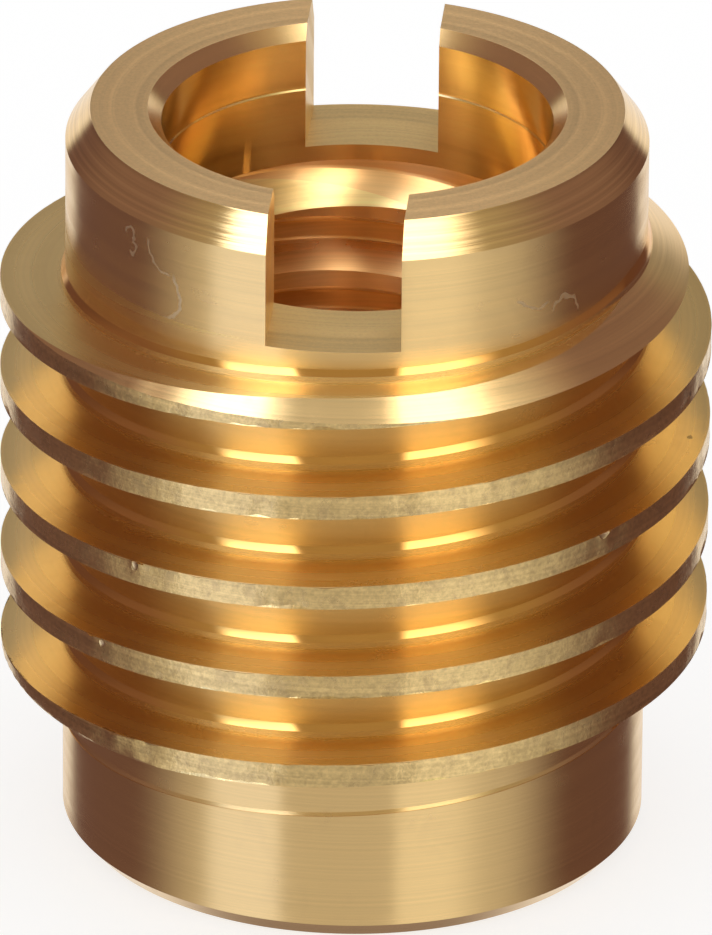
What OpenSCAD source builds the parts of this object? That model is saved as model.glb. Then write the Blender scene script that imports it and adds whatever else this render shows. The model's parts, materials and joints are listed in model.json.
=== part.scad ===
// Brass threaded insert for wood: coarse knife thread outside, machine-screw thread inside,
// slotted head. One turned piece, standing on its flat pilot end with the slotted head up.
// Units are millimetres. Z runs along the axis and the origin is the centre of the pilot's end face.

/* [Overall] */
// Length from the pilot's end face to the head's face
insert_len = 12.7; // [10:0.1:20]
// Diameter of the plain pilot that enters the drilled hole first
pilot_d = 9.54; // [9.5:0.01:11]
// Diameter of the plain neck below the head's face
neck_d = 9.45; // [9:0.01:11]

/* [Knife thread] */
// Diameter over the knife thread's crests
knife_d = 11.57; // [11:0.01:14]
// Diameter of the plain root between the turns
root_d = 9.45; // [9:0.01:10.5]
// Rise of the knife thread in one turn
knife_pitch = 1.6; // [1.2:0.05:2]
// Width of the flat crest
crest_w = 0.4; // [0.2:0.05:0.6]
// Slope of the flank that faces the head
upper_flank_deg = 0; // [0:1:15]
// Slope of the flank that faces the pilot
lower_flank_deg = 11; // [0:1:15]
// Length of the plain pilot, up to where the thread's lead-in meets the root
pilot_len = 2.57; // [2:0.01:4]
// Length of the plain neck, down to where the thread's run-out meets the root
neck_len = 2.27; // [1.8:0.01:4]
// Angle of the lead-in and run-out cones from the end faces
cone_deg = 30; // [20:1:45]
// Direction around the axis where the crest's middle leaves the lead-in cone
start_angle = 196; // [0:1:360]

/* [Head] */
// Width of the head chamfer, measured on the face
head_chamfer_w = 0.4; // [0.2:0.05:0.8]
// Height of the head chamfer, measured on the neck
head_chamfer_h = 0.53; // [0.2:0.01:1]
// Width of the screwdriver slot
slot_w = 2.18; // [1:0.01:3]
// Depth of the screwdriver slot
slot_depth = 2.13; // [1:0.01:2.2]

/* [Bore] */
// Diameter of the relief bore that clears the screw's crests
relief_d = 6.35; // [5.8:0.01:7.7]
// Depth of the relief bore, down to the top of its countersink
relief_depth = 2.4; // [1:0.05:4]
// Chamfer at the relief bore's mouth
mouth_chamfer = 0.22; // [0.1:0.01:0.5]
// Diameter of the tapped hole at the crests of its thread
tapped_d = 5.2; // [4:0.01:5.6]
// Chamfer at the tapped hole's lower mouth
lower_mouth_chamfer = 0.6; // [0.1:0.05:1]

/* [Pilot end] */
// Width of the pilot's edge break, measured on the end face
foot_chamfer_w = 0.25; // [0.1:0.01:0.5]
// Height of the pilot's edge break, measured on its side
foot_chamfer_h = 0.28; // [0.1:0.01:0.6]

/* [Hidden] */

$fn = 96;
// Facets in one turn of the knife thread
ridge_steps = 48;
// How far the ridge's section runs under the root and past the crest before it is trimmed
ridge_sink = 0.3;
// Overlap of a cutter past the face that it cuts
past = 1;

pilot_r = pilot_d / 2;
neck_r = neck_d / 2;
knife_r = knife_d / 2;
root_r = root_d / 2;
relief_r = relief_d / 2;
tapped_r = tapped_d / 2;

// The knife thread is cut in a thicker band of the bar, whose two ends are cones.
band_low_z = pilot_len;
band_high_z = insert_len - neck_len;
cone_slope = tan(cone_deg);
cone_h = (knife_r - root_r) * cone_slope;
sink_r = root_r - ridge_sink;
sink_h = ridge_sink * cone_slope;

// Floor of the countersink between the relief bore and the tapped hole, a 90 degree cone
relief_z = insert_len - relief_depth;
countersink_h = relief_r - tapped_r;

// Turned outside of the bar, without the knife thread
module turned_core() {
    rotate_extrude()
        polygon([
            [0, 0],
            [pilot_r - foot_chamfer_w, 0],
            [pilot_r, foot_chamfer_h],
            [pilot_r, band_low_z],
            [root_r, band_low_z],
            [root_r, band_high_z],
            [neck_r, band_high_z],
            [neck_r, insert_len - head_chamfer_h],
            [neck_r - head_chamfer_w, insert_len],
            [0, insert_len]
        ]);
}

// Band of the bar that the knife thread is cut from, as a ring that starts under the root
module thread_band() {
    rotate_extrude()
        polygon([
            [sink_r, band_low_z - sink_h],
            [knife_r, band_low_z + cone_h],
            [knife_r, band_high_z - cone_h],
            [sink_r, band_high_z + sink_h]
        ]);
}

// Height of a flank above or below the crest's middle, at radius r
function flank_z(r, flank_deg) = crest_w / 2 + (knife_r - r) * tan(flank_deg);

// One section of the ridge at angle a, with the crest's middle at height z
function ridge_section(a, z) = [
    for (corner = [
        [sink_r, -flank_z(sink_r, lower_flank_deg)],
        [knife_r + ridge_sink, -flank_z(knife_r + ridge_sink, lower_flank_deg)],
        [knife_r + ridge_sink, flank_z(knife_r + ridge_sink, upper_flank_deg)],
        [sink_r, flank_z(sink_r, upper_flank_deg)]
    ])
    [corner[0] * cos(a), corner[0] * sin(a), z + corner[1]]
];

// The helical ridge, a little longer and taller than the band that trims it
module knife_ridge() {
    turn_z = knife_pitch / ridge_steps;
    turn_a = 360 / ridge_steps;
    start_z = band_low_z + cone_h;
    below = ceil((cone_h + sink_h + crest_w + ridge_sink) / turn_z);
    above = ceil((band_high_z + sink_h + crest_w - start_z) / turn_z);
    last = below + above;
    points = [
        for (i = [-below : above])
            each ridge_section(start_angle + i * turn_a, start_z + i * turn_z)
    ];
    sides = [
        for (i = [0 : last - 1])
            for (k = [0 : 3])
                let (a = 4 * i + k, b = 4 * i + (k + 1) % 4)
                    each [[a, b, b + 4], [a, b + 4, a + 4]]
    ];
    ends = [
        [3, 2, 1, 0],
        [4 * last, 4 * last + 1, 4 * last + 2, 4 * last + 3]
    ];
    polyhedron(points = points, faces = concat(sides, ends));
}

// The knife thread: the ridge, trimmed to the band's crest cylinder and end cones
module knife_thread() {
    intersection() {
        knife_ridge();
        thread_band();
    }
}

// Everything bored out from both ends, as one turned cutter
module stepped_bore() {
    rotate_extrude()
        polygon([
            [0, -past],
            [tapped_r + lower_mouth_chamfer + past, -past],
            [tapped_r, lower_mouth_chamfer],
            [tapped_r, relief_z - countersink_h],
            [relief_r, relief_z],
            [relief_r, insert_len - mouth_chamfer],
            [relief_r + mouth_chamfer + past, insert_len + past],
            [0, insert_len + past]
        ]);
}

// The screwdriver slot, cut right across the head along Y
module driver_slot() {
    translate([-slot_w / 2, -knife_r - past, insert_len - slot_depth])
        cube([slot_w, knife_d + 2 * past, slot_depth + past]);
}

module insert_body() {
    color("goldenrod")
        difference() {
            union() {
                turned_core();
                knife_thread();
            }
            stepped_bore();
            driver_slot();
        }
}

insert_body();
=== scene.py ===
import json
import math

import bmesh
import bpy
from mathutils import Matrix, Vector, noise


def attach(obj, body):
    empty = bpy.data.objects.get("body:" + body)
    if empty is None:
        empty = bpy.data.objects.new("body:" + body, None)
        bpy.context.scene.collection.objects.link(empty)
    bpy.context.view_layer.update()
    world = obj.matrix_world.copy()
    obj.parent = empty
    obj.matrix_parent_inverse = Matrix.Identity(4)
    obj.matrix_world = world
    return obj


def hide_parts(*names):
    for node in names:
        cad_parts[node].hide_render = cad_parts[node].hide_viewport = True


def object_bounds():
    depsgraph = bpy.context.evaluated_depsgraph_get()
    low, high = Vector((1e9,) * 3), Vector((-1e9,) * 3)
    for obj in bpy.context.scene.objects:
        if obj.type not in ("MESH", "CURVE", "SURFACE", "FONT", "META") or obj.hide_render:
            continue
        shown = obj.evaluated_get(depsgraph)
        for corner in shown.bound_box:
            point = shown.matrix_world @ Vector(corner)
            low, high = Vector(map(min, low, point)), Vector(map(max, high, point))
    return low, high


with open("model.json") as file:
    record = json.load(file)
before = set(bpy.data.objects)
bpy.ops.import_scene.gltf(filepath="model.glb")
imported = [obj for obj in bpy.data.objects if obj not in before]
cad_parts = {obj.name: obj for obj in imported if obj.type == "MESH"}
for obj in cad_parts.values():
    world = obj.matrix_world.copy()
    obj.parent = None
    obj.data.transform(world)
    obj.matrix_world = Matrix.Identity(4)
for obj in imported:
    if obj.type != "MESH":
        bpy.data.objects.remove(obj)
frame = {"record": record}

cad_low, cad_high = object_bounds()
mounts = {mount["name"]: mount for mount in frame["record"]["mounts"]}
MM = 0.001


# ---------------------------------------------------------------------------
# Sizes, in millimetres
# ---------------------------------------------------------------------------

insert_len = (cad_high.z - cad_low.z) / MM
crest_r = cad_high.x / MM
pilot_r = mounts["pilot"]["dims"]["r_mm"]
relief_r = mounts["relief_bore"]["dims"]["r_mm"]
tapped_r = mounts["machine_thread"]["dims"]["r_mm"]

neck_r = 4.725
root_r = 4.725
pilot_top_z = 2.57
neck_low_z = insert_len - 2.27
foot_chamfer_w = 0.25
foot_chamfer_h = 0.28
head_chamfer_w = 0.40
head_chamfer_h = 0.53
mouth_chamfer = 0.22
countersink_top_z = insert_len - 2.40
lower_mouth_chamfer = 0.60
slot_w = 2.18
slot_floor_z = insert_len - 2.13

# Fine ring left in the relief bore where the boring tool paused
bore_line_z = insert_len - 1.08
bore_line_depth = 0.015
bore_line_half_w = 0.03

# Side that faces the camera, in degrees round the axis from -Y
camera_azimuth = 4.5
# The same side, in degrees from +X, where the threads' stations are counted from
front_angle = 270 + camera_azimuth

knife_pitch = 1.60
knife_crest_w = 0.40
knife_low_deg = 11
knife_up_deg = 0
knife_cone_deg = 30
# Height of the middle of a crest at the front
knife_front_z = 8.327
knife_edge_break = 0.03
knife_wear = 0.05
# The pilot is swept from here up, so that it holds the start of the groove
groove_low_z = 1.20
# Station where the groove starts in the pilot, and how many it takes to its full depth
groove_start_station = -1300
groove_fade_stations = 32

screw_pitch = 1.27
screw_crest_w = 0.29
screw_flank_deg = 30
screw_cone_deg = 45
screw_edge_break = 0.015
# Height of the middle of a crest, and the angle from +X where it has that height
screw_seen_z = 8.46
screw_seen_angle = 112

# Sections in one turn
STATIONS = 288


def smooth_step(low, high, value):
    t = min(max((value - low) / (high - low), 0.0), 1.0)
    return t * t * (3 - 2 * t)


# ---------------------------------------------------------------------------
# Threads: one section per station, swept up the axis
# ---------------------------------------------------------------------------

def merged(spots):
    """The same points, with any that lie closer together than the gap made equal."""
    gap = 0.004
    spots = list(spots)
    for k in range(1, len(spots) - 1):
        if math.dist(spots[k], spots[k - 1]) < gap:
            spots[k] = spots[k - 1]
    for k in range(len(spots) - 2, 0, -1):
        if math.dist(spots[k], spots[-1]) >= gap:
            break
        spots[k] = spots[-1]
    return spots


def nose_corner(steps):
    """Points (u, h, kind) down a corner, h over the flank. Each step leans out by its tilt."""
    u, h = 0.0, sum(step[1] for step in steps)
    points = [(u, h, "root")]
    for tilt, height, kind in steps:
        u += height * math.tan(math.radians(tilt))
        h -= height
        points.append((u, max(h, 0.0), kind))
    return points


class Thread:
    """A helical ridge on a cylinder, cut off at each end by a cone.

    The section is drawn in u, the height above the cylinder, and z. side is 1 for a ridge that
    stands outwards and -1 for one that stands into a hole. sill is how far the plain bar below
    the lower cone stands over the cylinder, so that the groove runs out into it as a fine step.
    """

    # How far the cylinder's own points stand off a corner, in heights of the corner
    PAST_NOSE = 1.3
    # Where a flank's extra point stands, as a share of the flank
    FLANK_POINT = 0.3
    # Most wear of an edge, as a share of the crest
    MOST_WEAR = 0.3
    # How much of an edge's wear reaches round to the flank, and in to the crest's cylinder
    FLANK_WEAR = 0.4
    CREST_WEAR = 0.5

    def __init__(self, base_r, side, depth, pitch, crest_w, low_deg, up_deg, low_z, up_z,
                 cone_deg, nose, edge, wear, crest_z, sill=0.0, sill_low_z=None,
                 sill_start=0, sill_fade=1):
        self.base_r = base_r
        self.side = side
        self.depth = depth
        self.pitch = pitch
        self.crest_w = crest_w
        self.low_slope = math.tan(math.radians(low_deg))
        self.up_slope = math.tan(math.radians(up_deg))
        self.low_z = low_z
        self.up_z = up_z
        self.cone_slope = math.tan(math.radians(cone_deg))
        self.nose = nose
        self.nose_h = nose[0][1]
        self.nose_w = nose[-1][0]
        self.edge = edge
        self.wear = wear
        self.crest_z = crest_z
        self.sill = sill
        self.first_z = low_z if sill_low_z is None else sill_low_z
        self.last_z = up_z + (self.nose_h if side > 0 else 0.0)
        self.plain_z = low_z + sill
        self.sill_start = sill_start
        self.sill_fade = sill_fade
        self.burrs = {}

    def burr(self, angle, turn, height):
        """A speck that stands out of the crest's upper edge, on a turn counted from the top."""
        station = round(angle / 360 * STATIONS) - turn * STATIONS
        self.burrs[station] = height
        self.burrs[station + 1] = height * 0.5

    def floor(self, station):
        """How far the groove above this station's ridge is from full depth, as it leaves the bar."""
        if not self.sill:
            return 0.0
        return self.sill * (1 - smooth_step(0, self.sill_fade, station - self.sill_start))

    def section(self, mid_z, station):
        """Points (u, z) from one root to the next, and the finish of each stretch between them."""
        half = self.crest_w / 2
        low_foot = mid_z - half - self.depth * self.low_slope
        up_foot = mid_z + half + self.depth * self.up_slope - self.settle(station)
        tip_low = (up_foot - self.low_z) / (self.cone_slope + self.up_slope)
        tip_up = (self.up_z - low_foot) / (self.low_slope + self.cone_slope)
        tip = max(min(self.depth, tip_up, max(tip_low, self.sill)), 0.0)

        def low_cone(u):
            return self.low_z + u * self.cone_slope

        def up_side(u):
            return min(up_foot - u * self.up_slope, self.up_z - u * self.cone_slope)

        low_cut = (low_foot - self.low_z) / (self.cone_slope - self.low_slope)
        low_cut = min(max(low_cut, self.sill, 0.0), tip)
        ledge_z = max(low_foot + low_cut * self.low_slope, low_cone(low_cut))
        ledge_z = min(ledge_z, up_side(low_cut))
        up_cut = (self.up_z - up_foot) / (self.cone_slope - self.up_slope)
        up_cut = min(max(up_cut, 0.0), tip)

        def low_flank(u):
            return min(low_foot + u * self.low_slope, ledge_z)

        crest_low = ledge_z
        if tip > low_cut:
            crest_low = max(low_foot + tip * self.low_slope, low_cone(tip))
        crest_up = max(up_side(tip), crest_low)
        width = crest_up - crest_low
        low_arc = min(self.nose_w, max(low_cut, 0.0))
        up_arc = min(self.nose_w, tip)
        # The edge break and the wear fade out where the ridge is low or its crest is thin
        broken = min(self.edge, 0.25 * width, 0.5 * (tip - low_cut), 0.5 * tip)
        whole = smooth_step(0.1, 0.6, tip / self.depth) * smooth_step(0.0, 0.12, width)
        worn_low, worn_up, swell = [amount * whole for amount in self.worn(station)]
        worn_low = min(worn_low, self.MOST_WEAR * width)
        worn_up = min(worn_up, self.MOST_WEAR * width)
        burr = self.burrs.get(station, 0.0) * whole

        low_foot_z = low_flank(0.0) - self.PAST_NOSE * self.nose_h
        points = [(0.0, mid_z - self.pitch / 2), (0.0, low_foot_z)]
        points += self.arc(low_flank, low_cut, -1)
        near = low_arc + self.FLANK_POINT * (low_cut - low_arc)
        points += [(near, low_flank(near)), (low_cut, low_flank(low_cut)), (low_cut, ledge_z)]
        tip_low_z = max(low_foot + (tip - broken) * self.low_slope, low_cone(tip - broken), ledge_z)
        points += [(tip - broken, min(tip_low_z, crest_low + worn_low * self.FLANK_WEAR))]
        points += [(tip + swell - self.CREST_WEAR * worn_low, crest_low + broken + worn_low),
                   (tip + swell, (crest_low + crest_up) / 2),
                   (tip + swell - self.CREST_WEAR * worn_up + burr, crest_up - broken - worn_up)]
        middle = len(points) - 2
        near = up_arc + self.FLANK_POINT * max(up_cut - up_arc, 0.0)
        points += [(tip - broken, up_side(tip - broken) - self.FLANK_WEAR * worn_up),
                   (max(up_cut, up_arc), up_side(max(up_cut, up_arc))), (near, up_side(near))]
        points += self.arc(up_side, tip, 1)[::-1]
        up_foot_z = up_side(0.0) + self.PAST_NOSE * self.nose_h
        points += [(0.0, up_foot_z), (0.0, mid_z + self.pitch / 2)]

        low_floor = self.floor(station - STATIONS)
        up_floor = self.floor(station)
        points = [(max(u, low_floor if k < middle else up_floor), z)
                  for k, (u, z) in enumerate(points)]
        corner = [kind for _, _, kind in self.nose[1:]]
        kinds = ["root", "root"] + ["flank"] * (len(corner) + 2) + ["side", "cone"] + ["crest"] * 4
        kinds += ["cone"] + ["flank"] * 2 + corner[::-1] + ["root", "root"]
        return points, kinds

    def reaches(self, station):
        """How much of its full height the ridge has at this station, above the lower cone."""
        up_foot = self.crest_z + station * self.pitch / STATIONS + self.crest_w / 2
        return (up_foot - self.low_z) / (self.cone_slope * self.depth)

    def arc(self, side_z, bar_u, away):
        """The corner left by the tool's nose, from the cylinder to the flank or the bar's skin."""
        points = []
        for u, h, _ in self.nose:
            z = side_z(u) + away * h
            if u > bar_u:
                u, z = bar_u, points[-1][1] if points else z
            points.append((u, z))
        return points

    def settle(self, station):
        """How far the upper flank of the last turn lies below the helix, as the tool runs out."""
        if not self.sill:
            return 0.0
        # Two falls in millimetres and the way back, each between two angles from the front
        front = station * 360 / STATIONS - front_angle
        drop = 0.035 * smooth_step(-80, -40, front) + 0.075 * smooth_step(-15, 24, front)
        return drop * (1 - smooth_step(35, 75, front))

    def worn(self, station):
        """How far the crest's two edges are worn back at this station, and how far it swells."""
        # Waves round the thread, a few to many in one turn
        angle = station * 2 * math.pi / STATIONS
        fine = noise.noise(Vector((angle * 24.0, 3.7, self.base_r)))
        low = noise.noise(Vector((angle * 9.0, 5.2, self.base_r))) + fine
        up = noise.noise(Vector((angle * 11.0, 8.1, self.base_r))) - fine
        swell = noise.noise(Vector((angle * 30.0, 1.3, self.base_r)))
        wear = self.wear
        return max(low, 0.0) * wear, max(up, 0.0) * wear, min(swell, 0.0) * 0.2 * wear

    def ends_above(self, station):
        """Whether this station's ridge is the last one below the upper cone."""
        after = self.crest_z + (station + STATIONS) * self.pitch / STATIONS
        return after - self.crest_w / 2 > self.up_z

    def sweep(self, skin):
        """Joins the sections of all stations, each to the one before it."""
        least_ridge = 0.2
        rise = self.pitch / STATIONS
        reach = self.pitch / 2 + self.depth
        first = math.floor((self.first_z - reach - self.crest_z) / rise)
        last = math.ceil((self.last_z + reach - self.crest_z) / rise)
        before = None
        for station in range(first, last + 1):
            points, kinds = self.section(self.crest_z + station * rise, station)
            spots = []
            top = min(points[-1][1], self.last_z)
            level = max(points[0][1], self.first_z)
            for u, z in points:
                level = min(max(z, level), top)
                spots.append((self.base_r + self.side * u, max(level, self.first_z)))
            row = [skin.point(r, z, station) for r, z in merged(spots)]
            if before:
                for k, kind in enumerate(kinds):
                    below = station if k > len(kinds) // 2 else station - STATIONS
                    if kind == "root" and self.reaches(below) < least_ridge:
                        kind = "side"
                    if kind == "root" and k > len(kinds) // 2 and self.ends_above(station):
                        kind = "side"
                    if kind in ("flank", "fillet") and spots[k + 1][1] < self.plain_z:
                        kind = "side"
                    skin.face((before[k], row[k], row[k + 1], before[k + 1]), kind)
            before = row


class Skin:
    """Collects the turned surface, and makes one closed mesh of it."""

    def __init__(self):
        self.points = []
        self.faces = []
        self.kinds = []
        self.angles = []
        for station in range(STATIONS):
            angle = station * 2 * math.pi / STATIONS
            self.angles.append((math.cos(angle), math.sin(angle)))

    def point(self, r, z, station):
        c, s = self.angles[station % STATIONS]
        self.points.append((r * c * MM, r * s * MM, z * MM))
        return len(self.points) - 1

    def face(self, corners, kind):
        self.faces.append(corners)
        self.kinds.append(kind)

    def turned(self, profile, kind):
        """Rings through the (r, z) points of a profile."""
        rows = []
        for r, z in profile:
            rows.append([self.point(r, z, station) for station in range(STATIONS)])
        for low, up in zip(rows, rows[1:]):
            for station in range(STATIONS):
                after = (station + 1) % STATIONS
                self.face((low[station], low[after], up[after], up[station]), kind)

    def mesh(self, name, finishes):
        """The closed mesh, with one material for each finish."""
        mesh = bpy.data.meshes.new(name)
        mesh.from_pydata(self.points, [], self.faces)
        order = list(finishes)
        for kind in order:
            mesh.materials.append(finishes[kind])
        mesh.polygons.foreach_set("material_index", [order.index(kind) for kind in self.kinds])
        same = 0.0002 * MM
        work = bmesh.new()
        work.from_mesh(mesh)
        bmesh.ops.remove_doubles(work, verts=work.verts, dist=same)
        bmesh.ops.dissolve_degenerate(work, edges=work.edges, dist=same)
        bmesh.ops.recalc_face_normals(work, faces=work.faces)
        work.to_mesh(mesh)
        work.free()
        return mesh


def stretch(start, end, steps):
    """Points on a straight line, both ends included."""
    line = []
    for step in range(steps + 1):
        t = step / steps
        line.append((start[0] + (end[0] - start[0]) * t, start[1] + (end[1] - start[1]) * t))
    return line


# ---------------------------------------------------------------------------
# Finishes of the brass, some with painted shade and painted reflection in their colours
# ---------------------------------------------------------------------------

class Nodes:
    """Adds nodes to a tree. An input is given as a value, or as the socket that feeds it."""

    def __init__(self, tree):
        self.tree = tree

    def add(self, kind, inputs=None, **settings):
        node = self.tree.nodes.new("ShaderNode" + kind)
        for key, value in settings.items():
            setattr(node, key, value)
        for key, value in (inputs or {}).items():
            self.feed(node.inputs[key], value)
        return node

    def feed(self, socket, value):
        if isinstance(value, bpy.types.NodeSocket):
            self.tree.links.new(value, socket)
        else:
            socket.default_value = value

    def math(self, operation, first, second=0.0):
        return self.add("Math", {0: first, 1: second}, operation=operation).outputs[0]

    def fit(self, value, low, high, to_low=0.0, to_high=1.0):
        inputs = {"Value": value, "From Min": low, "From Max": high,
                  "To Min": to_low, "To Max": to_high}
        return self.add("MapRange", inputs).outputs["Result"]

    def mix(self, factor, first, second):
        node = self.add("Mix", data_type="RGBA")
        self.feed(node.inputs[0], factor)
        self.feed(node.inputs[6], first)
        self.feed(node.inputs[7], second)
        return node.outputs[2]


def shader_group(name, inputs, outputs):
    """A node group with float inputs, given with their usual values, and float outputs."""
    tree = bpy.data.node_groups.new(name, "ShaderNodeTree")
    for socket, usual in inputs.items():
        tree.interface.new_socket(socket, in_out="INPUT", socket_type="NodeSocketFloat")
        tree.interface.items_tree[socket].default_value = usual
    for socket in outputs:
        tree.interface.new_socket(socket, in_out="OUTPUT", socket_type="NodeSocketFloat")
    ends = (tree.nodes.new("NodeGroupInput"), tree.nodes.new("NodeGroupOutput"))
    return tree, Nodes(tree), ends


def place(nodes):
    """Position on the insert, in millimetres."""
    where = nodes.add("TexCoord").outputs["Object"]
    return nodes.add("VectorMath", {0: where, "Scale": 1 / MM}, operation="SCALE").outputs[0]


def tool_marks_group():
    """Fine lines left round the work by the tool, and broad bands of them.

    Across z and Across r give the direction in the section that the lines follow one another in.
    """
    tree, nodes, (given, result) = shader_group(
        "tool_marks", {"Across z": 1.0, "Across r": 0.0, "Spacing": 0.06, "Waver": 0.03},
        ["Lines", "Bands"])
    spot = place(nodes)
    parts = nodes.add("SeparateXYZ", {0: spot}).outputs
    flat = nodes.add("CombineXYZ", {0: parts[0], 1: parts[1], 2: 0.0}).outputs[0]
    radius = nodes.add("VectorMath", {0: flat}, operation="LENGTH").outputs["Value"]
    drift = nodes.add("TexNoise", {"Vector": spot, "Scale": 0.35, "Detail": 1.0}).outputs[0]
    across = nodes.math("ADD", nodes.math("MULTIPLY", parts[2], given.outputs["Across z"]),
                        nodes.math("MULTIPLY", radius, given.outputs["Across r"]))
    across = nodes.math("ADD", across, nodes.math("MULTIPLY", drift, given.outputs["Waver"]))
    count = nodes.math("DIVIDE", across, given.outputs["Spacing"])
    fine = nodes.add("TexNoise", {"W": count, "Scale": 1.0, "Detail": 2.0, "Roughness": 0.6},
                     noise_dimensions="1D").outputs[0]
    broad = nodes.add("TexNoise", {"W": nodes.math("ADD", count, 40.0), "Scale": 0.16,
                                   "Detail": 2.0}, noise_dimensions="1D").outputs[0]
    nodes.feed(result.inputs["Lines"], nodes.fit(fine, 0.3, 0.7))
    nodes.feed(result.inputs["Bands"], nodes.fit(broad, 0.35, 0.65))
    return tree


def tarnish_group():
    """Dull patches from handling and storage."""
    tree, nodes, (given, result) = shader_group(
        "tarnish", {"Patch size": 1.2, "Spread": 0.5}, ["Mask"])
    often = nodes.math("DIVIDE", 1.0, given.outputs["Patch size"])
    cloud = nodes.add("TexNoise", {"Vector": place(nodes), "Scale": often, "Detail": 5.0,
                                   "Roughness": 0.62, "Distortion": 0.4}).outputs[0]
    edge = nodes.fit(given.outputs["Spread"], 0.0, 1.0, 0.75, 0.25)
    mask = nodes.fit(nodes.math("SUBTRACT", cloud, edge), 0.0, 0.18)
    nodes.feed(result.inputs["Mask"], mask)
    return tree


def grain_group():
    """Even grain of a torn surface, and the odd pit in it."""
    tree, nodes, (given, result) = shader_group(
        "grain", {"Grain size": 0.06, "Pit size": 0.5, "Pit share": 0.1}, ["Grain", "Pits"])
    spot = place(nodes)
    often = nodes.math("DIVIDE", 1.0, given.outputs["Grain size"])
    grain = nodes.add("TexNoise", {"Vector": spot, "Scale": often, "Detail": 2.0,
                                   "Roughness": 0.7}).outputs[0]
    seldom = nodes.math("DIVIDE", 1.0, given.outputs["Pit size"])
    cells = nodes.add("TexVoronoi", {"Vector": spot, "Scale": seldom, "Randomness": 1.0})
    chance = nodes.add("SeparateColor", {0: cells.outputs["Color"]}).outputs[0]
    chosen = nodes.math("LESS_THAN", chance, given.outputs["Pit share"])
    width = nodes.math("ADD", 0.05, nodes.math("MULTIPLY", grain, 0.16))
    pit = nodes.math("LESS_THAN", cells.outputs["Distance"], width)
    nodes.feed(result.inputs["Grain"], nodes.fit(grain, 0.3, 0.7))
    nodes.feed(result.inputs["Pits"], nodes.math("MULTIPLY", chosen, pit))
    return tree


def scratch_group():
    """A hooked scratch, part of a circle on the turned side, unrolled about the front.

    Along and Height place the circle. Middle and Span are degrees round it.
    """
    tree, nodes, (given, result) = shader_group(
        "scratch", {"Along": 0.0, "Height": 0.0, "Radius": 0.5, "Middle": 0.0, "Span": 90.0,
                    "Width": 0.05}, ["Mask"])
    parts = nodes.add("SeparateXYZ", {0: place(nodes)}).outputs
    turn = math.radians(360 - front_angle)
    ahead = nodes.math("SUBTRACT", nodes.math("MULTIPLY", parts[0], math.cos(turn)),
                       nodes.math("MULTIPLY", parts[1], math.sin(turn)))
    right = nodes.math("ADD", nodes.math("MULTIPLY", parts[0], math.sin(turn)),
                       nodes.math("MULTIPLY", parts[1], math.cos(turn)))
    around = nodes.math("MULTIPLY", nodes.math("ARCTAN2", right, ahead), neck_r)
    sway = 0.1
    wobble = nodes.add("TexNoise", {"Vector": place(nodes), "Scale": 5.0, "Detail": 1.0}).outputs[0]
    wobble = nodes.fit(wobble, 0, 1, -sway, sway)
    across = nodes.math("SUBTRACT", around, given.outputs["Along"])
    up = nodes.math("SUBTRACT", parts[2], given.outputs["Height"])
    far = nodes.math("SQRT", nodes.math("ADD", nodes.math("MULTIPLY", across, across),
                                        nodes.math("MULTIPLY", up, up)))
    off = nodes.math("SUBTRACT", nodes.math("ADD", far, wobble), given.outputs["Radius"])
    line = nodes.math("DIVIDE", nodes.math("ABSOLUTE", off), given.outputs["Width"])
    angle = nodes.math("SUBTRACT", nodes.math("ARCTAN2", up, across),
                       nodes.math("RADIANS", given.outputs["Middle"]))
    swing = nodes.math("ARCCOSINE", nodes.math("COSINE", angle))
    span = nodes.math("RADIANS", given.outputs["Span"])
    inside = nodes.fit(nodes.math("DIVIDE", swing, span), 0.85, 1.0, 1.0, 0.0)
    mask = nodes.math("MULTIPLY", inside, nodes.fit(line, 0.4, 1.0, 1, 0))
    nodes.feed(result.inputs["Mask"], mask)
    return tree


TOOL_MARKS = tool_marks_group()
TARNISH = tarnish_group()
GRAIN = grain_group()
SCRATCH = scratch_group()


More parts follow.
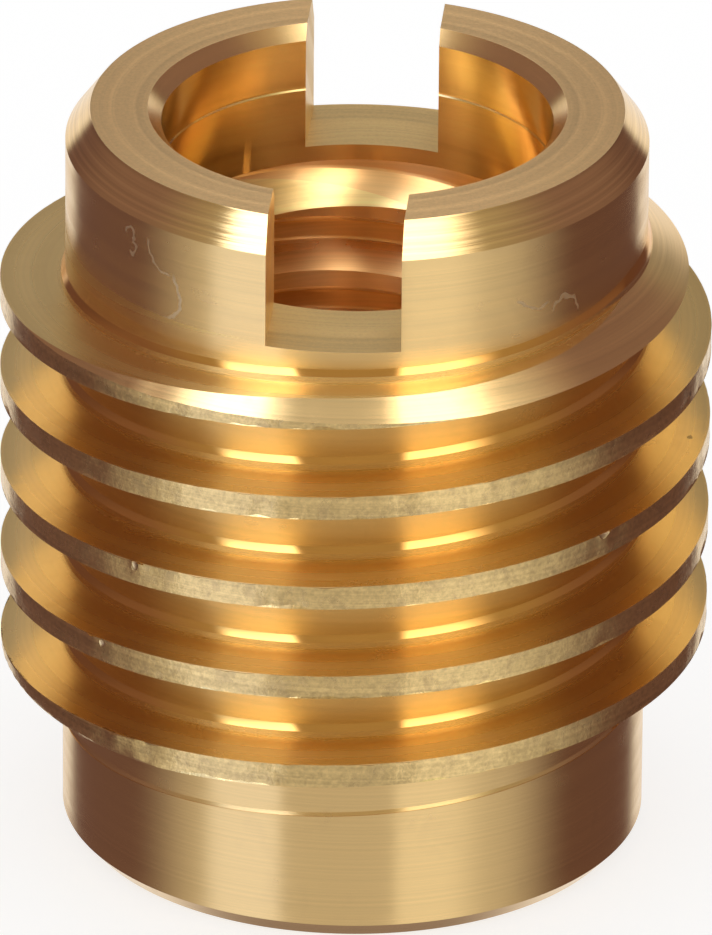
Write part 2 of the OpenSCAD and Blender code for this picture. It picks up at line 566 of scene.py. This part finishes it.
def brass(name, clean, dull, roughness, grooves=0.0, across=(1.0, 0.0), spacing=0.06, waver=0.03,
          line_depth=0.0, line_tint=0.0, patch=1.2, spread=0.4, dulling=0.5, grain_size=0.06,
          grain_depth=0.0, grain_tint=0.0, pit_share=0.012, scratches=(), scratch_depth=0.0):
    """One finish of the brass. Depths are in micrometres, the other sizes in millimetres. The clean
    and dull colours of the fillet, root and tapped finishes also hold painted shade and painted
    reflection.
    """
    pit_depth = 12.0
    pit_shade = 0.45
    band_share = 0.6
    dull_rough = 0.18
    band_rough = 0.12 * roughness
    scratch_rough = 0.5

    material = bpy.data.materials.new(name)
    material.use_nodes = True
    nodes = Nodes(material.node_tree)
    shader = material.node_tree.nodes["Principled BSDF"]

    lines = nodes.add("Group", node_tree=TOOL_MARKS)
    lines.inputs["Across z"].default_value = across[0]
    lines.inputs["Across r"].default_value = across[1]
    lines.inputs["Spacing"].default_value = spacing
    lines.inputs["Waver"].default_value = waver
    tarnish = nodes.add("Group", node_tree=TARNISH)
    tarnish.inputs["Patch size"].default_value = patch
    tarnish.inputs["Spread"].default_value = spread
    grain = nodes.add("Group", node_tree=GRAIN)
    grain.inputs["Grain size"].default_value = grain_size
    grain.inputs["Pit share"].default_value = pit_share

    dim = nodes.math("MULTIPLY", tarnish.outputs["Mask"], dulling)
    shade = nodes.math("ADD", nodes.fit(lines.outputs["Lines"], 0, 1, 1 - line_tint, 1 + line_tint),
                       nodes.fit(grain.outputs["Grain"], 0, 1, -grain_tint, grain_tint))
    shade = nodes.math("ADD", shade, nodes.fit(lines.outputs["Bands"], 0, 1,
                                               -line_tint * band_share, line_tint * band_share))
    shade = nodes.math("MULTIPLY", shade, nodes.fit(grain.outputs["Pits"], 0, 1, 1.0, pit_shade))
    color = nodes.mix(dim, (*clean, 1), (*dull, 1))
    color = nodes.add("VectorMath", {0: color, "Scale": shade}, operation="SCALE").outputs[0]
    scratched = 0.0
    for along, up, radius, middle, span, width in scratches:
        mark = nodes.add("Group", node_tree=SCRATCH)
        for socket, value in (("Along", along), ("Height", up), ("Radius", radius),
                              ("Middle", middle), ("Span", span), ("Width", width)):
            mark.inputs[socket].default_value = value
        scratched = nodes.math("MAXIMUM", mark.outputs["Mask"], scratched)
    if scratches:
        color = nodes.mix(scratched, color, (*SCUFFED, 1))
    nodes.feed(shader.inputs["Base Color"], color)

    rough = nodes.math("ADD", nodes.fit(dim, 0, 1, roughness, roughness + dull_rough),
                       nodes.fit(lines.outputs["Bands"], 0, 1, -band_rough, band_rough))
    if scratches:
        rough = nodes.math("ADD", rough, nodes.math("MULTIPLY", scratched, scratch_rough))
    nodes.feed(shader.inputs["Roughness"], rough)

    height = nodes.math("MULTIPLY", lines.outputs["Lines"], line_depth)
    height = nodes.math("ADD", height, nodes.math("MULTIPLY", grain.outputs["Grain"], grain_depth))
    pits = nodes.math("MULTIPLY", grain.outputs["Pits"], pit_depth)
    height = nodes.math("SUBTRACT", height, pits)
    if scratch_depth:
        height = nodes.math("SUBTRACT", height, nodes.math("MULTIPLY", scratched, scratch_depth))
    micrometre = 0.001 * MM
    bump = nodes.add("Bump", {"Height": height, "Strength": 1.0, "Distance": micrometre})
    nodes.feed(shader.inputs["Normal"], bump.outputs["Normal"])

    shader.inputs["Metallic"].default_value = 1
    shader.inputs["Anisotropic"].default_value = grooves
    shader.inputs["Anisotropic Rotation"].default_value = 0.25
    if grooves:
        tangent = nodes.add("Tangent", direction_type="RADIAL", axis="Z")
        nodes.feed(shader.inputs["Tangent"], tangent.outputs["Tangent"])
    return material


BRASS = (0.91, 0.65, 0.32)
DULL = (0.72, 0.51, 0.28)
SCUFFED = (0.95, 0.79, 0.57)
# Direction up the slope of the upper cone, in z and r
SLOPE = (0.5, -0.87)
# Hooked scratches on the neck: along, height, radius, middle, half span and width
NECK_SCRATCHES = [(-3.48, 11.06, 0.47, -19, 71, 0.035), (-3.23, 11.90, 0.50, 225, 48, 0.028),
                  (-4.12, 11.84, 0.11, 60, 130, 0.030), (-4.08, 11.62, 0.10, -20, 120, 0.035),
                  (3.70, 10.62, 0.33, 75, 80, 0.030), (3.20, 11.50, 0.58, 252, 36, 0.028)]
# Bright nicks on the thread's crests, given in the same way. Each is a whole dot.
CREST_NICKS = [(3.38, 10.06, 0.02, 0, 215, 0.075), (3.63, 7.17, 0.02, 0, 215, 0.075),
               (-3.09, 6.71, 0.02, 0, 215, 0.080), (-3.67, 5.06, 0.02, 0, 215, 0.070)]

finishes = {
    "side": brass("turned_side", BRASS, DULL, 0.23, 0.9, spacing=0.05, line_depth=0.10,
                  line_tint=0.03, patch=1.1, spread=0.42, dulling=0.22, scratches=NECK_SCRATCHES),
    "face": brass("faced_end", (0.86, 0.61, 0.325), (0.74, 0.53, 0.30), 0.45, 0.3,
                  across=(0.0, 1.0), spacing=0.05, line_depth=0.2, line_tint=0.03, spread=0.4,
                  dulling=0.3, grain_depth=1.2, grain_tint=0.06),
    "cone": brass("chamfer", BRASS, DULL, 0.17, 0.9, across=SLOPE, spacing=0.06,
                  line_depth=0.25, line_tint=0.05, spread=0.35, dulling=0.25),
    "head": brass("head_chamfer", BRASS, DULL, 0.17, 0.9, across=SLOPE, spacing=0.085,
                  line_depth=2.2, line_tint=0.12, spread=0.35, dulling=0.25),
    "crest": brass("thread_crest", (0.84, 0.62, 0.30), (0.62, 0.45, 0.24), 0.22, 0.6,
                   spacing=0.07, line_depth=0.8, line_tint=0.08, patch=0.35, spread=0.5,
                   dulling=0.6, grain_size=0.08, grain_depth=1.5, grain_tint=0.15,
                   scratches=CREST_NICKS, scratch_depth=20.0),
    "flank": brass("thread_flank", (0.95, 0.70, 0.32), (0.70, 0.43, 0.17), 0.28, 0.9,
                   across=(0.0, 1.0), spacing=0.08, line_depth=0.2, line_tint=0.03,
                   spread=0.35, dulling=0.25),
    # The fillet's colours are darker and more orange than the brass's: painted reflection of the
    # brass walls round the thread's corner.
    "fillet": brass("thread_fillet", (0.88, 0.48, 0.14), (0.74, 0.38, 0.11), 0.12, 0.8,
                    line_tint=0.02, spread=0.3, dulling=0.1, pit_share=0.0),
    # The root's colours are darker and more orange than the brass's: painted shade and painted
    # reflection in the groove between the crests.
    "root": brass("thread_root", (0.79, 0.49, 0.18), (0.61, 0.34, 0.11), 0.24, 0.9,
                  spacing=0.08, line_depth=0.15, line_tint=0.03, spread=0.35, dulling=0.2),
    "bore": brass("bored_wall", (1.0, 0.74, 0.35), (0.86, 0.60, 0.27), 0.2, 0.8, spacing=0.12,
                  waver=0.3, line_depth=0.3, line_tint=0.04, spread=0.35, dulling=0.2),
    # The tapped wall's colours are darker and redder than the brass's: painted shade inside the
    # tapped hole.
    "tapped": brass("tapped_wall", (0.92, 0.57, 0.26), (0.78, 0.42, 0.20), 0.30, 0.9,
                    across=(0.5, 0.87), spacing=0.07, line_depth=0.5, line_tint=0.06,
                    spread=0.4, dulling=0.3),
    "countersink": brass("countersink", (0.95, 0.70, 0.32), (0.75, 0.47, 0.16), 0.33, 0.9,
                         across=(0.71, 0.71), spacing=0.11, line_depth=2.2, line_tint=0.08,
                         spread=0.4, dulling=0.3),
    "slot": brass("milled_slot", (0.98, 0.73, 0.35), (0.84, 0.62, 0.32), 0.38,
                  across=(1.0, 1.0), spacing=0.09, waver=0.5, line_depth=0.8, line_tint=0.05,
                  spread=0.45, dulling=0.3, grain_depth=0.8, grain_tint=0.05),
}


# ---------------------------------------------------------------------------
# The insert
# ---------------------------------------------------------------------------

# Corners of the threads: tilt in degrees, height and finish of each step
knife_nose = nose_corner([(31, 0.053, "fillet"), (35, 0.053, "fillet"), (6, 0.10, "root")])
screw_nose = nose_corner([(27, 0.033, "flank")])
knife = Thread(base_r=root_r, side=1, depth=crest_r - root_r, pitch=knife_pitch,
               crest_w=knife_crest_w, low_deg=knife_low_deg, up_deg=knife_up_deg,
               low_z=pilot_top_z, up_z=neck_low_z, cone_deg=knife_cone_deg, nose=knife_nose,
               edge=knife_edge_break, wear=knife_wear,
               crest_z=knife_front_z + knife_pitch * (360 - front_angle) / 360,
               sill=pilot_r - root_r, sill_low_z=groove_low_z, sill_start=groove_start_station,
               sill_fade=groove_fade_stations)
screw = Thread(base_r=relief_r, side=-1, depth=relief_r - tapped_r, pitch=screw_pitch,
               crest_w=screw_crest_w, low_deg=screw_flank_deg, up_deg=screw_flank_deg,
               low_z=lower_mouth_chamfer - (relief_r - tapped_r), up_z=countersink_top_z,
               cone_deg=screw_cone_deg, nose=screw_nose, edge=screw_edge_break, wear=0.0,
               crest_z=screw_seen_z - screw_pitch * screw_seen_angle / 360)

# Burrs on the crests: angle from +X, turn from the top and height
for angle, turn, height in ((317, 0, 0.04), (312, 0, 0.04), (238, 2, 0.05), (228, 3, 0.04),
                            (319, 2, 0.04), (233, 4, 0.05), (264, 4, 0.04), (296, 1, 0.03)):
    knife.burr(angle, turn, height)

skin = Skin()
lower_mouth_r = tapped_r + lower_mouth_chamfer
pilot_foot_r = pilot_r - foot_chamfer_w
head_r = neck_r - head_chamfer_w
mouth_r = relief_r + mouth_chamfer
bore_line_top_z = bore_line_z + bore_line_half_w
bore_line_foot_z = bore_line_z - bore_line_half_w
below_line_z = bore_line_z - 0.1
skin.turned(stretch((relief_r, screw.low_z), (lower_mouth_r, 0), 1), "cone")
skin.turned(stretch((lower_mouth_r, 0), (pilot_foot_r, 0), 2), "face")
skin.turned(stretch((pilot_foot_r, 0), (pilot_r, foot_chamfer_h), 2), "cone")
skin.turned(stretch((pilot_r, foot_chamfer_h), (pilot_r, knife.first_z), 3), "side")
knife.sweep(skin)
skin.turned(stretch((neck_r, knife.last_z), (neck_r, insert_len - head_chamfer_h), 4), "side")
skin.turned(stretch((neck_r, insert_len - head_chamfer_h), (head_r, insert_len), 3), "head")
skin.turned(stretch((head_r, insert_len), (mouth_r, insert_len), 3), "face")
skin.turned(stretch((mouth_r, insert_len), (relief_r, insert_len - mouth_chamfer), 1), "cone")
skin.turned(stretch((relief_r, insert_len - mouth_chamfer), (relief_r, bore_line_top_z), 2)
            + [(relief_r + bore_line_depth, bore_line_z), (relief_r, bore_line_foot_z)]
            + stretch((relief_r, below_line_z), (relief_r, countersink_top_z), 2), "bore")
tapped_from = len(skin.faces)
screw.sweep(skin)
for k in range(tapped_from, len(skin.faces)):
    skin.kinds[k] = "countersink" if skin.kinds[k] == "cone" else "tapped"


def cutter_block(low, high, finish):
    """A block between two corners, to mill the slot with."""
    mesh = bpy.data.meshes.new("slot_cutter")
    work = bmesh.new()
    bmesh.ops.create_cube(work, size=1)
    for vert in work.verts:
        for axis in range(3):
            vert.co[axis] = (low[axis] if vert.co[axis] < 0 else high[axis]) * MM
    work.to_mesh(mesh)
    work.free()
    mesh.materials.append(finish)
    block = bpy.data.objects.new("slot_cutter", mesh)
    bpy.context.scene.collection.objects.link(block)
    return block


body = bpy.data.objects.new("insert", skin.mesh("insert", finishes))
bpy.context.scene.collection.objects.link(body)
cutter_past = 1
cutter = cutter_block((-slot_w / 2, -crest_r, slot_floor_z),
                      (slot_w / 2, crest_r, insert_len + cutter_past), finishes["slot"])
cut = body.modifiers.new("slot", "BOOLEAN")
cut.operation = "DIFFERENCE"
cut.solver = "EXACT"
cut.material_mode = "TRANSFER"
cut.object = cutter
graph = bpy.context.evaluated_depsgraph_get()
cut_mesh = bpy.data.meshes.new_from_object(body.evaluated_get(graph))
body.modifiers.clear()
body.data = cut_mesh
bpy.data.objects.remove(cutter)
for polygon in cut_mesh.polygons:
    polygon.use_smooth = True
sharp_deg = 24
cut_mesh.set_sharp_from_angle(angle=math.radians(sharp_deg))

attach(body, "root")
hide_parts("insert_body")


# ---------------------------------------------------------------------------
# Studio: light tent, floor and room
# ---------------------------------------------------------------------------

def blend(start, end, t):
    """Colour between two colours."""
    return tuple(p + (q - p) * t for p, q in zip(start, end))


# Colours of the tent: the panels high up, low down and in between, the gap between them, the
# dark flags at the sides, and what is behind and under
PANEL_LEFT = (3.3, 3.4, 3.5)
PANEL_RIGHT = (3.1, 2.9, 2.6)
LOW_LEFT = (0.93, 0.95, 1.00)
LOW_RIGHT = (0.89, 0.87, 0.80)
LEVEL_LEFT = (0.96, 1.15, 1.45)
LEVEL_RIGHT = (0.86, 0.91, 0.66)
GAP = (0.60, 0.57, 0.50)
GAP_HIGH = (0.42, 0.36, 0.24)
FLAG_LEFT = (0.150, 0.088, 0.084)
FLAG_RIGHT = (0.137, 0.076, 0.068)
FLAG_LEVEL = (0.23, 0.146, 0.130)
FLAG_HIGH = (0.41, 0.27, 0.20)
BACK = (0.95, 0.90, 0.85)
BACK_HIGH = (0.325, 0.29, 0.245)
UNDER = (0.30, 0.24, 0.22)


def band(value, start, full, fade, end):
    """1 from full to fade, and down to 0 at start and at end."""
    return smooth_step(start, full, value) * (1 - smooth_step(fade, end, value))


def tent_glow(direction):
    """How bright the tent is in a direction, seen from the insert.

    Azimuths are degrees from the front. Heights and widths are parts of the unit direction.
    """
    turn = math.radians(camera_azimuth)
    across = direction.x * math.cos(turn) + direction.y * math.sin(turn)
    ahead = direction.x * math.sin(turn) - direction.y * math.cos(turn)
    azimuth = math.degrees(math.atan2(across, ahead))
    height = direction.z
    raised = smooth_step(0.15, 0.40, height)
    above = smooth_step(0.50, 0.62, height)
    over = smooth_step(0.80, 0.90, height)

    side = band(abs(azimuth), 55, 95, 143, 151)
    back = smooth_step(143, 151, abs(azimuth))
    flag = blend(FLAG_LEFT if azimuth < 0 else FLAG_RIGHT, FLAG_LEVEL, raised)
    glow = blend(blend(GAP, GAP_HIGH, raised), flag, side)
    glow = blend(glow, blend(BACK, BACK_HIGH, smooth_step(0.1, 0.35, height)), back)
    left = band(azimuth, -62, -54, -29.5, -26.5)
    right = band(azimuth, 15, 19, 36, 58)
    low_left = blend(LOW_LEFT, LEVEL_LEFT, raised)
    low_right = blend(LOW_RIGHT, LEVEL_RIGHT, raised)
    glow = blend(glow, blend(low_left, PANEL_LEFT, above), left)
    glow = blend(glow, blend(low_right, PANEL_RIGHT, above), right)

    high_left = band(across, -0.40, -0.34, -0.215, -0.19)
    high_right = band(across, 0.08, 0.105, 0.27, 0.31)
    high = blend(GAP, FLAG_HIGH, smooth_step(0.36, 0.48, abs(across)))
    high = blend(high, PANEL_LEFT, high_left)
    high = blend(high, PANEL_RIGHT, high_right)
    glow = blend(glow, high, over)
    return blend(glow, UNDER, smooth_step(0.70, 0.90, -height))


def glow_material(name):
    """A light whose colour is kept at the mesh's points."""
    material = bpy.data.materials.new(name)
    material.use_nodes = True
    nodes = material.node_tree.nodes
    links = material.node_tree.links
    nodes.clear()
    out = nodes.new("ShaderNodeOutputMaterial")
    light = nodes.new("ShaderNodeEmission")
    level = nodes.new("ShaderNodeAttribute")
    level.attribute_name = "glow"
    links.new(level.outputs["Color"], light.inputs["Color"])
    links.new(light.outputs["Emission"], out.inputs["Surface"])
    return material


def stage_object(name, mesh):
    """An object of the studio, linked into the scene on its own."""
    thing = bpy.data.objects.new(name, mesh)
    bpy.context.scene.collection.objects.link(thing)
    return thing


def only_in_reflections(thing):
    """Hides an object from everything but reflections."""
    thing.visible_camera = False
    thing.visible_diffuse = False
    thing.visible_shadow = False
    thing.visible_transmission = False
    thing.visible_volume_scatter = False


def light_tent():
    """The tent of panels and flags round the insert, which its metal mirrors. In metres."""
    radius = 0.15
    columns, rows = 240, 120
    points, glows, faces = [], [], []
    for row in range(rows + 1):
        rise = math.pi * (row / rows - 0.5)
        for column in range(columns):
            angle = 2 * math.pi * column / columns
            way = Vector((math.cos(angle) * math.cos(rise), math.sin(angle) * math.cos(rise),
                          math.sin(rise)))
            points.append(way * radius)
            glows += [*tent_glow(way), 1.0]
    for row in range(rows):
        for column in range(columns):
            after = (column + 1) % columns
            a, b = row * columns, (row + 1) * columns
            faces.append((a + column, b + column, b + after, a + after))
    mesh = bpy.data.meshes.new("light_tent")
    mesh.from_pydata(points, [], faces)
    attribute = mesh.attributes.new("glow", "FLOAT_COLOR", "POINT")
    attribute.data.foreach_set("color", glows)
    mesh.materials.append(glow_material("tent_light"))
    only_in_reflections(stage_object("light_tent", mesh))


def seen_rays(tree):
    """1 for the rays that show the room: the camera's, and those of mirrors and glass."""
    path = tree.nodes.new("ShaderNodeLightPath")
    seen = path.outputs["Is Camera Ray"]
    for ray in ("Is Glossy Ray", "Is Transmission Ray"):
        either = tree.nodes.new("ShaderNodeMath")
        either.operation = "MAXIMUM"
        tree.links.new(seen, either.inputs[0])
        tree.links.new(path.outputs[ray], either.inputs[1])
        seen = either.outputs[0]
    return seen


def pale_floor():
    """A matte floor that keeps the insert's shadow and meets the white room. In metres."""
    material = bpy.data.materials.new("pale_floor")
    material.use_nodes = True
    nodes = material.node_tree.nodes
    links = material.node_tree.links
    nodes.clear()
    out = nodes.new("ShaderNodeOutputMaterial")
    matte = nodes.new("ShaderNodeBsdfDiffuse")
    matte.inputs["Color"].default_value = (0.5, 0.5, 0.5, 1)
    glow = nodes.new("ShaderNodeEmission")
    strength = nodes.new("ShaderNodeMath")
    strength.operation = "MULTIPLY"
    strength.inputs[1].default_value = 0.7
    both = nodes.new("ShaderNodeAddShader")
    links.new(seen_rays(material.node_tree), strength.inputs[0])
    links.new(strength.outputs[0], glow.inputs["Strength"])
    links.new(matte.outputs[0], both.inputs[0])
    links.new(glow.outputs[0], both.inputs[1])
    links.new(both.outputs[0], out.inputs["Surface"])
    mesh = bpy.data.meshes.new("floor")
    half = 4.0
    corners = [(-half, -half, 0), (half, -half, 0), (half, half, 0), (-half, half, 0)]
    mesh.from_pydata(corners, [], [(0, 1, 2, 3)])
    mesh.materials.append(material)
    stage_object("floor", mesh).visible_glossy = False


def pale_world():
    """The white room behind everything, a little dimmer as a light."""
    world = bpy.data.worlds.new("pale_room")
    bpy.context.scene.world = world
    world.use_nodes = True
    nodes = world.node_tree.nodes
    links = world.node_tree.links
    back = nodes["Background"]
    level = nodes.new("ShaderNodeMapRange")
    level.inputs["To Min"].default_value = 0.6
    level.inputs["To Max"].default_value = 1.0
    links.new(seen_rays(world.node_tree), level.inputs["Value"])
    links.new(level.outputs["Result"], back.inputs["Strength"])
    back.inputs["Color"].default_value = (1, 1, 1, 1)


light_tent()
pale_floor()
pale_world()


# ---------------------------------------------------------------------------
# Camera
# ---------------------------------------------------------------------------

# In degrees
camera_elevation = 26.017
camera_roll = 0.461
# In metres, from the point it aims at
camera_distance = 0.2714
# That point, in millimetres right of the insert's middle and below it
aim_right = 0.0193
aim_down = 0.1091


def studio_camera():
    """The camera at the front, with a long lens, looking down at the insert."""
    turn = math.radians(camera_azimuth)
    rise = math.radians(camera_elevation)
    roll = math.radians(camera_roll)
    back = Vector((math.sin(turn) * math.cos(rise), -math.cos(turn) * math.cos(rise),
                   math.sin(rise)))
    level_right = Vector((math.cos(turn), math.sin(turn), 0))
    level_up = back.cross(level_right)
    right = level_right * math.cos(roll) + level_up * math.sin(roll)
    up = level_up * math.cos(roll) - level_right * math.sin(roll)
    aim = Vector((0, 0, insert_len / 2 * MM)) + (right * aim_right - up * aim_down) * MM
    data = bpy.data.cameras.new("studio_camera")
    data.lens = 640.0
    data.sensor_width = 36.0
    data.clip_start = 0.01
    data.clip_end = 10.0
    camera = bpy.data.objects.new("studio_camera", data)
    axes = Matrix((right, up, back)).transposed().to_4x4()
    camera.matrix_world = Matrix.Translation(aim + back * camera_distance) @ axes
    bpy.context.scene.collection.objects.link(camera)
    bpy.context.scene.camera = camera


studio_camera()
bpy.context.scene.view_settings.view_transform = "Standard"
